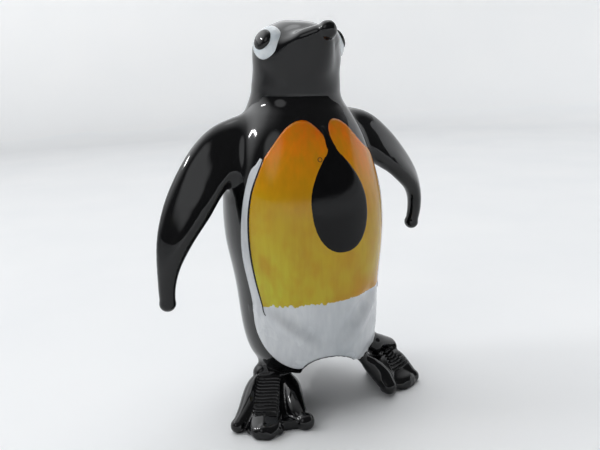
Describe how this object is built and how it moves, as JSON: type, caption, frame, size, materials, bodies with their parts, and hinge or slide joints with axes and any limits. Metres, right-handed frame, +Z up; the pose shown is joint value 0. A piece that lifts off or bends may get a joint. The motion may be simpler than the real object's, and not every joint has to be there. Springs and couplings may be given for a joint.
{
  "type": "penguin figurine",
  "caption": "Small hand-formed black glass penguin ornament with an enamelled white, yellow and black front, spread flippers, bead eyes and ribbed pressed feet.",
  "frame": {"origin": "middle of the figure's bounding box on the floor that it stands on", "axes": "+Z up, the figure faces -Y, +X to the right as seen from the front"},
  "size_m": [0.058, 0.0312, 0.0698],
  "materials": {
    "black_glass": "gloss",
    "white_glass": "gloss",
    "white_enamel": "gloss",
    "yellow_enamel": "gloss",
    "black_enamel": "gloss"
  },
  "bodies": {
    "root": {"beak": "black_glass", "belly_enamel": "white_enamel", "chest_enamel": "yellow_enamel", "head": "black_glass", "left_eye_white": "white_glass", "left_flipper": "black_glass", "left_foot": "black_glass", "left_pupil": "black_glass", "right_eye_white": "white_glass", "right_flipper": "black_glass", "right_foot": "black_glass", "right_pupil": "black_glass", "tail": "black_glass", "throat_drop": "black_enamel", "torso": "black_glass"}
  },
  "joints": []
}
